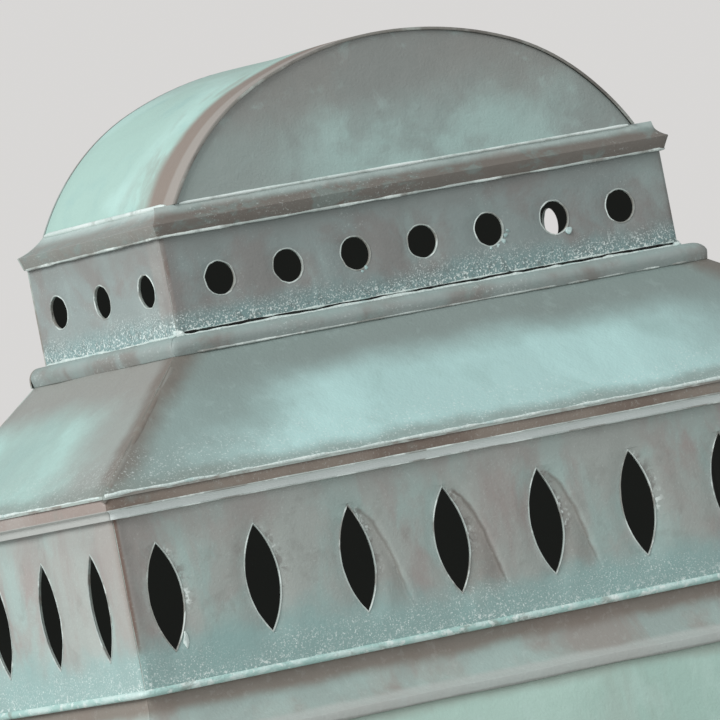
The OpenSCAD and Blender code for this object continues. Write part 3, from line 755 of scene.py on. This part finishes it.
def roof_finish(name, base, lit, shade, haze, hips):
    worn = []
    for mirror, sign in hips:
        beside = (across.x * mirror * sign, across.y * sign, 0)
        worn += [(haze, 0.85, reaches(sign * hip_level + 0.009, 0.022, 0.4, 34, beside)),
                 ((112, 102, 94), 0.8, reaches(sign * hip_level + 0.0012, 0.005, 0.4, 50, beside))]
    return copper_finish(name, base, [
        (lit, 0.85, clouds(22, 0.42, 0.62)),
        ((150, 180, 175), 0.35, clouds(48, 0.5, 0.64, shift=(4, 0, 0))),
        # Painted shadow: the band just under the curb is darkened.
        (shade, 0.9, hangs(roof_top - 0.004, 0.0085, 0.28, 36)), *worn,
        ((128, 138, 132), 0.7, reaches(roof_low.z + 0.0018, 0.003, 0.6, 60)),
        (white_salt, 0.5, clouds(1900, 0.57, 0.65), reaches(roof_low.z + 0.004, 0.008, 0.8, 40)),
        ((196, 220, 216), 0.08, clouds(300, 0.56, 0.7))], rough=(0.36, 0.55), shine=0.5)


front_roof = roof_finish("front_roof_mint", (170, 203, 200), (182, 218, 215),
                         (126, 136, 132), (130, 145, 141), ((1, 1), (-1, 1)))
side_colours = (160, 188, 181), (174, 210, 203), (146, 144, 139), (146, 146, 141)
for node, paint in (("hip_front", front_roof),
                    ("hip_left", roof_finish("left_roof_mint", *side_colours, ((1, -1),))),
                    ("hip_right", roof_finish("right_roof_mint", *side_colours, ((-1, -1),)))):
    is_side = node != "hip_front"
    panel = sheet_copy(node)
    low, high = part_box(node)
    soften(panel, 0.00018, wanted=lambda spot, way: spot.z < low.z + 0.0025 and abs(way.z) < 0.1)
    cut_rows(panel, 0, spaced(low.x, high.x, 0.004 if is_side else 0.005))
    cut_rows(panel, 1, spaced(low.y, high.y, 0.004))
    slope_normal = side_slope.copy() if is_side else front_slope
    slope_normal.x *= -1 if node.endswith("left") else 1

    def sheet_sag(co):
        rise = (co.z - low.z) / (high.z - low.z)
        edge = min(1, 6 * rise) * min(1, 6 * max(0, 1 - rise)) * ramp(side_high.y - co.y, 0.012)
        hip_gap = abs(Vector((-abs(co.x), co.y, 0)).dot(across) - hip_level)
        edge *= min(1, hip_gap / 0.012)
        return slope_normal * (0.0009 * wander(co, 0.035, 3.3) * edge - 0.0003 * edge)

    def roof_side(face):
        facing = face.normal.dot(slope_normal)
        return 0 if facing > 0.85 else 2 if facing < -0.85 else 1

    lay_paints(panel, [paint, cut_edge, inside_shade_glow], roof_side)
    move_skin(panel, sheet_sag)
    fit_piece(panel, "copper_mint", node)
hip_paint = copper_finish("hip_solder", (136, 136, 130), [
    ((120, 112, 104), 0.85, clouds(50, 0.42, 0.6)),
    ((156, 172, 166), 0.5, clouds(60, 0.52, 0.66))], rough=(0.4, 0.6))
for side, name in ((1, "left"), (-1, "right")):
    start, end = hip_top.copy(), hip_foot.copy()
    start.x, end.x = side * start.x, side * end.x
    end.z += 0.0011
    sink = Vector((side * 0.3, 0.3, -0.75)) * 0.00168
    ridge = solder_rod("hip_solder_" + name, start + sink, end + sink, 0.0013, 0.05, 0.004, 4.0 + side)
    lay_seam(ridge, hip_paint, "copper_mint")
drip_line = edge_line("roof_drip_edge", drip_side - 0.0001, drip_front + 0.0001, side_high.y,
                      roof_low.z + 0.0009, 0.0015, 0.0003, 0.6, 6.6)
lay_seam(drip_line, bright_solder, "copper_mint")


# Cornice: brown copper folded into a fascia over a small step, under the roof's drip edge and
# round three sides. Both edges along the front carry pale lines, part worn and part painted
# highlight; the step is a painted highlight band, and the side strips use a lighter, lit copy.
frieze_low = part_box("frieze_front")[0]
frieze_half, frieze_front = -frieze_low.x, frieze_low.y
cornice_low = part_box("cornice_front")[0]
step_top = cornice_low.z + 0.002


def cornice_finish(name, base, brown, step):
    return copper_finish(name, base, [
        (brown, 0.8, clouds(40, 0.42, 0.6, (1, 1, 0.6))),
        ((140, 152, 146), 0.4, clouds(90, 0.54, 0.68)),
        # Painted highlight: the step below step_top is lightened to a bright band.
        (step, 0.95, reaches(step_top, 0.0003, 0.1, 300)),
        (white_salt, 0.15, clouds(1900, 0.58, 0.66))])


cornice_paint = cornice_finish("cornice_patina", (136, 126, 116), (114, 100, 90), (212, 221, 219))
# The side copy is lighter throughout, with a less bright step: painted light for the side strips.
cornice_lit_side = cornice_finish("cornice_lit_side_patina", (166, 158, 152), (156, 143, 136), (180, 184, 180))
for node, is_side in sides_of("cornice"):
    paint = cornice_lit_side if is_side else cornice_paint
    work_strip(node, frieze_half, frieze_front, 0.002, paint, "copper_brown", 0.0002)
for name, out, height, thick in (("fascia", 0.0017, step_top + 0.0001, 0.0002),
                                 ("step", 0.00085, cornice_low.z + 0.0001, 0.00016)):
    line = front_rod("cornice_edge_" + name, frieze_half + out - 0.002, frieze_front - out, height, thick,
                     0.15, 0.0024, 11.0)
    lay_seam(line, highlit_worn_edge, "copper_brown")


# Frieze: three tall grey sheets cut with pointed slots. The cutting has drawn the sheet in
# round each slot and left creases beside some; the corners are folded round, not sharp.
frieze_bend = 0.0022
slot_z, slot_h, slot_w = 0.0893, 0.01215, 0.00435
slot_pitch, side_slot_pitch, first_side_slot = 0.0248, 0.0239, -0.033
front_slots = [slot_pitch * (i - 4) for i in range(9)]
side_slots = [first_side_slot + side_slot_pitch * i for i in range(4)]
creased = (2, 3, 4)
fold_lines = [(Vector(way).normalized(), Vector(point)) for way, point in (
    ((0.0033, 0, 0.0030), (0.0026, 0, 0.0109)), ((0.0066, 0, 0.0028), (0.0056, 0, 0.0076)),
    ((0.0131, 0, 0.0032), (0.0084, 0, 0.001)))]

# The hollow between a slot and the fold beside it, or with a small Band only the fold itself
fold, given, result = new_group("sheet_fold", "Mask", Vector=(0, 0, 0), Slot=(0, 0, 0), Band=0.02)
away = vector_step(fold, "SUBTRACT", given["Vector"], given["Slot"])
shiver = add_node(fold, "TexNoise", {"Vector": given["Vector"], "Scale": 260})
past_lines = [sum_step(fold, "SUBTRACT", vector_step(fold, "DOT_PRODUCT", away, way), way.dot(point))
              for way, point in fold_lines]
beyond = past_lines[0]
for past_line in past_lines[1:]:
    beyond = sum_step(fold, "SMOOTH_MAX", beyond, past_line, 0.0012)
ripple = sum_step(fold, "MULTIPLY", sum_step(fold, "SUBTRACT", shiver.outputs["Fac"], 0.5), 0.0008)
beyond = sum_step(fold, "ADD", beyond, ripple)
outer = add_node(fold, "MapRange", {"Value": beyond, "From Min": 0, "From Max": 0.0004,
                                    "To Min": 1, "To Max": 0})
inner = add_node(fold, "MapRange", {"Value": sum_step(fold, "ADD", beyond, given["Band"]),
                                    "From Min": -0.0004, "From Max": 0})
both = sum_step(fold, "MULTIPLY", outer.outputs["Result"], inner.outputs["Result"])
set_inputs(fold, result, {"Mask": both})


def beside_fold(spot, band):
    return fold, {"Slot": (spot, 0, slot_z), "Band": band}


# Painted shade: a brownish-grey wash over the hollow beside a slot's crease, and a darker line along the
# fold itself.
def crease_shade_coats(spot, amount):
    ends = [reaches(-spot + 0.001, 0.0008, 0.1, 120, (-1, 0, 0)),
            reaches(slot_z + 0.0104, 0.001, 0.2), hangs(slot_z - 0.0108, 0.0035, 0.3)]
    return [((130, 123, 117), amount, beside_fold(spot, 0.02), *ends),
            ((96, 90, 84), amount, beside_fold(spot, 0.0001), *ends)]


# A band beside one edge of every slot, full at the slot and gone Reach away from it
halo, given, result = new_group("slot_halo", "Mask", Vector=(0, 0, 0), Side=1, Reach=0.003)
nearest = vector_step(halo, "WRAP", given["Vector"], (slot_pitch / 2, 1, 1), (-slot_pitch / 2, -1, -1))
part = add_node(halo, "SeparateXYZ", {0: nearest}).outputs
level = sum_step(halo, "SUBTRACT", part["Z"], slot_z)
up_square = sum_step(halo, "POWER", sum_step(halo, "ABSOLUTE", sum_step(halo, "DIVIDE", level, slot_h)), 2)
narrow = sum_step(halo, "MULTIPLY", sum_step(halo, "SUBTRACT", up_square, 1), slot_w)
sideways = sum_step(halo, "MULTIPLY", part["X"], given["Side"])
clear = sum_step(halo, "DIVIDE", sum_step(halo, "ADD", sideways, narrow), given["Reach"])
fade = add_node(halo, "MapRange", {"Value": clear, "To Min": 1, "To Max": 0},
                interpolation_type="SMOOTHSTEP")
facing = sum_step(halo, "GREATER_THAN", sideways, 0.0)
set_inputs(halo, result, {"Mask": sum_step(halo, "MULTIPLY", fade.outputs["Result"], facing)})


def beside_slot(side, reach):
    return halo, {"Side": side, "Reach": reach}


def frieze_finish(name, lift):
    lifted = lighter_by(lift)
    strip = corner_strip(frieze_half, frieze_front, 0.0075, lift > 0)
    upper_part = hangs(slot_z - 0.001, 0.004, 0.5), reaches(slot_z + 0.0105, 0.002)
    if lift == 0:
        strip += crease_shade_coats(front_slots[2], 0.35) + crease_shade_coats(front_slots[3], 0.55)
        strip += crease_shade_coats(front_slots[4], 0.4)
        strip += [((112, 108, 104), 0.7, clouds(420, 0.5, 0.58), beside_slot(1, 0.0034), *upper_part),
                  (white_salt, 0.85, clouds(900, 0.52, 0.6), beside_slot(1, 0.003), *upper_part,
                   clouds(90, 0.4, 0.55)),
                  ((186, 194, 190), 0.45, beside_slot(-1, 0.0019), clouds(120, 0.4, 0.55))]
    return copper_finish(name, lifted(160, 167, 162), [
        (lifted(152, 144, 140), 0.85, clouds(36, 0.44, 0.6, (1, 1, 0.5), (2, 2, 0))),
        (lifted(156, 180, 175), 0.7, clouds(50, 0.47, 0.62, (1, 1, 0.6))),
        (lifted(144, 148, 144), 0.4, hangs(cornice_low.z - 0.002, 0.006, 0.6, 70)),
        (lifted(120, 120, 115), 0.2, clouds(140, 0.55, 0.66)), *strip,
        (lifted(138, 172, 169), 0.8, reaches(frieze_low.z + 0.006, 0.009, 0.7, 50)),
        (white_salt, 0.8, clouds(2600, 0.56, 0.64), reaches(frieze_low.z + 0.004, 0.008, 0.8, 60)),
        (white_salt, 0.85, clouds(1200, 0.54, 0.62), reaches(frieze_low.z + 0.0012, 0.003, 0.8, 90)),
        (white_salt, 0.12, clouds(1900, 0.6, 0.66))])


# The side copy is lighter by 11 throughout: painted light for the side sheets.
frieze_paint, lit_side_frieze_paint = frieze_finish("frieze_patina", 0), frieze_finish("frieze_lit_side_patina", 11)
for node, is_side in sides_of("frieze"):
    spots = side_slots if is_side else front_slots
    cuts = [x + s for x in spots for s in (-0.0075, -0.0055, 0.0055, 0.0075, 0.0095)]
    if not is_side:
        cuts += [spots[n] + 0.0016 + 0.0007 * i for n in creased for i in range(17)]
    wall, low, high = pierced_wall(node, frieze_half, frieze_front, frieze_bend, 0.00016, cuts, 0.0016,
                                   lit_side_frieze_paint if is_side else frieze_paint)

    def slot_pull(co):
        along = co.y if is_side else co.x
        sink = 0.0
        for number, spot in enumerate(spots):
            up = (co.z - slot_z) / slot_h
            if abs(up) < 1.5:
                edge = slot_w * math.sqrt(max(0.0, 1 - up * up)) if abs(up) < 1 else 0.0
                gap = max(0.0, abs(along - spot) - edge) + max(0.0, abs(up) - 1) * slot_h * 0.5
                sink += 0.0007 * math.exp(-(gap / 0.0022) ** 2)
                if number in creased and not is_side and along > spot:
                    here = Vector((along - spot, 0, co.z - slot_z))
                    past = sum(math.exp(way.dot(here - point) / 0.0006) for way, point in fold_lines)
                    before = -0.0006 * math.log(past)
                    hollow = 1 - before / 0.005 if before > 0 else 1 + before / 0.0007
                    sink += 0.0009 * max(0.0, hollow) * ramp(1.05 - abs(up), 0.3)
        sink += 0.0007 * wander(co, 0.03, 9.2) * min(1, (co.z - low.z) / 0.006)
        sink *= ramp(high.z - co.z, 0.006)
        sink *= corner_fade(co, frieze_half, frieze_front, is_side)
        if is_side:
            sink *= ramp(high.y - co.y, 0.006)
        return outward(co, -sink, is_side)

    move_skin(wall, slot_pull)
    fit_piece(wall, "copper_grey", node)

    side = -1 if node.endswith("left") else 1
    arc = (slot_h ** 2 + slot_w ** 2) / (2 * slot_w)
    for number, spot in enumerate(spots):
        def rim_place(co):
            round_way = Vector((co.x, co.y, 0))
            off, out = (round_way.length - 1) * 0.0016, co.z * 0.0018
            round_way.normalize()
            rise = slot_h * round_way.y
            along = math.copysign(math.sqrt(arc ** 2 - rise ** 2) - arc + slot_w, round_way.x)
            way = Vector((round_way.x / slot_w, round_way.y / slot_h)).normalized()
            swell = 1 + 0.5 * noise.noise(Vector((along * 500, rise * 500, number * 2.3 + side)))
            along, rise = spot + along + way.x * off * swell, slot_z + rise + way.y * off * swell
            out *= swell
            here = Vector((side * (frieze_half + out), along, rise) if is_side
                          else (along, frieze_front - out, rise))
            return here + slot_pull(here)

        hole_ring("%s_rim_%d" % (node, number), 1, 0.1, 64, rim_place)

smear_at = (front_slots[0] + 0.0028, frieze_front + 0.0004, slot_z - 0.85 * slot_h)
smear = solder_lump("slot_solder_smear", smear_at, 0.0016, 8.8, (0.45, 0.2, 1.2))
lay_seam(smear, bright_solder, "copper_grey")


# Bead: a half-round copper wire soldered along the frieze's foot, bright with teal and white
# verdigris where the rain stands on it.
bead_paint = copper_finish("bead_verdigris", (168, 202, 196), [
    ((206, 226, 222), 0.8, clouds(130, 0.44, 0.6, (1, 1, 3))),
    ((130, 122, 112), 0.5, clouds(120, 0.56, 0.66, shift=(0, 4, 1))),
    (white_salt, 0.7, clouds(540, 0.54, 0.62))], rough=(0.35, 0.55), waves=(0.3, 0.5, 0.3))
for node, is_side in sides_of("bead"):
    work_strip(node, frieze_half, frieze_front, frieze_bend, bead_paint, "copper_mint", 0.00012, 0.0001)


# Back plate: one plain sheet with every tier's outline, closing the back from the frieze's
# foot to the eave. Water marks run down it; its inner face is painted near-black as shade, like the rest.
plate_low, plate_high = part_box("back_plate")
plate_paint = copper_finish("back_plate_patina", (164, 180, 174), [
    ((176, 204, 197), 0.8, clouds(24, 0.44, 0.6)),
    ((150, 144, 138), 0.6, clouds(60, 0.5, 0.64, (1, 1, 0.2))),
    (teal, 0.6, reaches(plate_low.z + 0.004, 0.01, 0.8, 60)),
    (white_salt, 0.1, clouds(520, 0.57, 0.64))])
plate = sheet_copy("back_plate")
soften(plate, 0.00015)
lay_paints(plate, [plate_paint, cut_edge, inside_shade_glow],
           lambda face: 0 if face.normal.y > 0.9 else 2 if face.normal.y < -0.9 else 1)
cut_rows(plate, 0, spaced(plate_low.x, plate_high.x, 0.006))
cut_rows(plate, 2, spaced(plate_low.z, plate_high.z, 0.005))
move_skin(plate, lambda co: Vector((0, 0.0006 * wander(co, 0.04, 3.9) - 0.0003, 0)))
fit_piece(plate, "copper_grey", "back_plate")


# Recess, cove and ledge: one copper sheet a side, folded from under the bead down into a wide
# shallow cove and a small ledge lapped over the skirt. The recess is painted brown as shade, the
# ledge carries a pale painted highlight, and below is grey-green.
cove_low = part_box("cove_front")[0]
recess_foot = frieze_low.z - 0.0027
ledge_top = cove_low.z + 0.0027
cove_paint = copper_finish("cove_patina", (152, 167, 162), [
    ((150, 142, 136), 0.8, clouds(42, 0.46, 0.62, (1, 1, 0.6))),
    ((168, 190, 184), 0.6, clouds(30, 0.46, 0.62, shift=(1, 3, 0))),
    # Painted shade: the recess under the bead is darkened brown.
    ((132, 122, 113), 0.9, hangs(recess_foot + 0.0002, 0.003, 0.4, 60)),
    # Painted highlight: a pale band along the ledge.
    ((178, 184, 180), 0.8, reaches(ledge_top + 0.0004, 0.0014, 0.3, 80)),
    ((120, 122, 117), 0.6, reaches(cove_low.z + 0.0002, 0.0005, 0.4, 200)),
    (white_salt, 0.06, clouds(640, 0.57, 0.64))])
four_ways = ("front", "back", "left", "right")


def low_sheet(node, is_side, pitch):
    sheet = sheet_copy(node)
    low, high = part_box(node)
    soften(sheet, 0.0002)
    axis = 1 if is_side else 0
    cut_rows(sheet, axis, spaced(low[axis], high[axis], pitch))
    return sheet, low, high


for node, is_side in sides_of("cove", four_ways):
    strip = low_sheet(node, is_side, 0.0045)[0]
    move_skin(strip, lambda co: Vector((0, 0, 0.0003 * wander(co, 0.02, 2.8))))
    lay_paints(strip, [cove_paint])
    fit_piece(strip, "copper_grey", node)


# Skirt: four matte sage sheets that drop over the post, with the foot folded up into a hem.
# The back one is bored for two fixing screws and the sides for the clamp bushes.
skirt_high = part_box("skirt_front")[1]
skirt_paint = copper_finish("skirt_sage", (184, 213, 202), [
    ((172, 203, 192), 0.8, clouds(20, 0.42, 0.62)),
    ((192, 220, 211), 0.5, clouds(70, 0.5, 0.66)),
    ((160, 168, 158), 0.6, hangs(skirt_high.z - 0.0014, 0.003, 0.5, 60)),
    ((150, 148, 140), 0.5, reaches(0.001, 0.006, 0.8, 60)),
    ((168, 182, 172), 0.4, clouds(60, 0.52, 0.66, (1, 1, 0.2)))], rough=(0.62, 0.8), shine=0.25)
for node, is_side in sides_of("skirt", four_ways):
    strip, low, high = low_sheet(node, is_side, 0.007)
    cut_rows(strip, 2, spaced(low.z + 0.006, high.z, 0.007))

    def skirt_wave(co):
        fade = ramp(co.z - 0.006, 0.02) * ramp(high.z - co.z - 0.002, 0.01)
        if is_side:
            fade *= 0.3
        amount = 0.0006 * fade * wander(co, 0.045, 1.2)
        return Vector((amount, 0, 0) if is_side else (0, amount, 0))

    move_skin(strip, skirt_wave)
    lay_paints(strip, [skirt_paint])
    fit_piece(strip, "copper_sage", node)


# Hidden copper: angles inside the corners and cleats under the hips, painted near-black as shade.
# The wall sheets and roof panels are soldered to them; the front angles follow the round corners.
for node in sorted(frame["nodes"]):
    if "cleat" in node or "angle_rear" in node:
        hidden = frame["nodes"][node]
        hidden.data.materials.clear()
        lay_paints(hidden, [inside_shade_glow])
    elif "angle_front" in node:
        half, front, bend = frieze_half, frieze_front, frieze_bend
        if "cupola" in node:
            half, front, bend = cupola_half, cupola_front, cupola_bend
        angle = sheet_copy(node)
        low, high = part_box(node)
        cut_rows(angle, 0, spaced(low.x, high.x, 0.0005))
        cut_rows(angle, 1, spaced(low.y, high.y, 0.0005))
        lay_paints(angle, [inside_shade_glow])
        roll_mitre(angle, half, front, bend, None)
        fit_piece(angle, "copper_brown", node)


# Seat rails and bushes: drawn brass angle soldered inside the skirt for the post to stop
# against, and turned brass bushes that carry the clamp screws. Dull, greenish at the edges.
brass = copper_finish("dull_brass", (150, 128, 84), [
    ((118, 98, 62), 0.7, clouds(70, 0.44, 0.62)),
    ((128, 150, 128), 0.45, clouds(120, 0.54, 0.68)),
    ((176, 156, 108), 0.4, clouds(340, 0.5, 0.7))],
    rough=(0.34, 0.5), waves=(0.1, 0.2, 0.2), metal=0.75)
for node in list(frame["nodes"]):
    if node.startswith(("seat_rail", "bushes")):
        rail = sheet_copy(node)
        soften(rail, 0.00025)
        lay_paints(rail, [brass])
        fit_piece(rail, "brass_dull", node)


# Clamp screws: four turned brass thumbscrews, one at each end of each side, that press on the
# post. The head has a knurled rim and a straight slot; each slides in along its own axis.
head_height, slot_half, slot_deep = 0.003, 0.00055, 0.0011
knurls, knurl_depth = 32, 0.03
for node in sorted(n for n in frame["nodes"] if n.startswith("clamp_screw")):
    screw = sheet_copy(node)
    low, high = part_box(node)
    side = -1 if low.x < 0 else 1
    top_face = low.x if side < 0 else high.x
    mid_y, mid_z = (low.y + high.y) / 2, (low.z + high.z) / 2
    head_foot = top_face - side * head_height
    cut_rows(screw, 1, (mid_y - slot_half, mid_y + slot_half))
    with edit_mode(screw):
        bpy.ops.mesh.select_mode(type="FACE")
        bpy.ops.mesh.select_all(action="DESELECT")
    for face in screw.data.polygons:
        beside = abs(face.center.y - mid_y)
        face.select = abs(face.center.x - top_face) < 1e-5 and beside < slot_half - 0.00005
    with edit_mode(screw):
        bpy.ops.mesh.extrude_region_move(TRANSFORM_OT_translate={"value": (-side * slot_deep, 0, 0)})
    soften(screw, 0.00018, 2, 50)
    for vertex in screw.data.vertices:
        arm = math.hypot(vertex.co.y - mid_y, vertex.co.z - mid_z)
        in_head = side * (vertex.co.x - head_foot) > 0.0003 and side * (top_face - vertex.co.x) > 0.0003
        if arm > 0.0042 and in_head:
            turn = math.atan2(vertex.co.z - mid_z, vertex.co.y - mid_y)
            trim = 1 - knurl_depth * (0.5 + 0.5 * math.cos(turn * knurls))
            vertex.co.y = mid_y + (vertex.co.y - mid_y) * trim
            vertex.co.z = mid_z + (vertex.co.z - mid_z) * trim
    lay_paints(screw, [brass])
    fit_piece(screw, "brass_dull", node, body=node)


# Studio: a long lens looks up very slightly at the cupola's front-left foot, rolled a little.
# A large soft box stands up and to the left, with a weak one to the right, over a pale floor.
def soft_box(name, place, aim, size, power):
    deselect()
    bpy.ops.object.light_add(type="AREA", location=place)
    lamp = bpy.context.object
    lamp.name = name
    lamp.rotation_euler = (Vector(place) - Vector(aim)).to_track_quat("Z", "Y").to_euler()
    lamp.data.size = size
    lamp.data.energy = power


corner = Vector(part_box("cupola_front")[0])
turn, rise, roll = math.radians(-29.14), math.radians(-0.99), math.radians(10.97)
back = Vector((math.sin(turn) * math.cos(rise), -math.cos(turn) * math.cos(rise), math.sin(rise)))
right = Vector((math.cos(turn), math.sin(turn), 0))
up = right.cross(-back)
stand_off, aim_right, aim_down = 2.078, 0.0392, 0.0128
eye = corner + back * stand_off
aim = corner + right * aim_right - up * aim_down
deselect()
bpy.ops.object.camera_add(location=eye)
camera = bpy.context.object
camera.name = "studio_camera"
camera.rotation_mode = "QUATERNION"
camera.rotation_quaternion = (
    (aim - eye).to_track_quat("-Z", "Y") @ Quaternion((0, 0, 1), -roll))
camera.data.sensor_width = 36
camera.data.lens = 464.5
camera.data.clip_end = 50
bpy.context.scene.camera = camera

soft_box("key_box", (-1.4, -0.45, 1.12), (0, 0, 0.13), 0.9, 26)
soft_box("fill_box", (0.7, -1.3, 0.5), (0, 0, 0.13), 0.8, 3)

deselect()
bpy.ops.mesh.primitive_plane_add(size=12, location=(0, 0, 0))
floor = bpy.context.object
floor.name = "pale_floor"
floor_paint = bpy.data.materials.new("floor_paint")
floor_paint.use_nodes = True
set_inputs(floor_paint.node_tree, floor_paint.node_tree.nodes["Principled BSDF"],
           {"Base Color": (0.62, 0.61, 0.6, 1), "Roughness": 0.9})
floor.data.materials.append(floor_paint)
floor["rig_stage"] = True

world = bpy.data.worlds.new("pale_room")
bpy.context.scene.world = world
world.use_nodes = True
room = world.node_tree
seen = room.nodes["Background"]
set_inputs(room, seen, {"Color": (0.69, 0.68, 0.67, 1)})
lit = add_node(room, "Background", {"Color": (0.95, 0.98, 1.0, 1), "Strength": 0.42})
which = add_node(room, "LightPath", {})
swap = add_node(room, "MixShader", {"Fac": which.outputs["Is Camera Ray"], 1: lit.outputs[0],
                                    2: seen.outputs[0]})
set_inputs(room, room.nodes["World Output"], {"Surface": swap.outputs[0]})
bpy.context.scene.view_settings.view_transform = "Standard"

low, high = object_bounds()
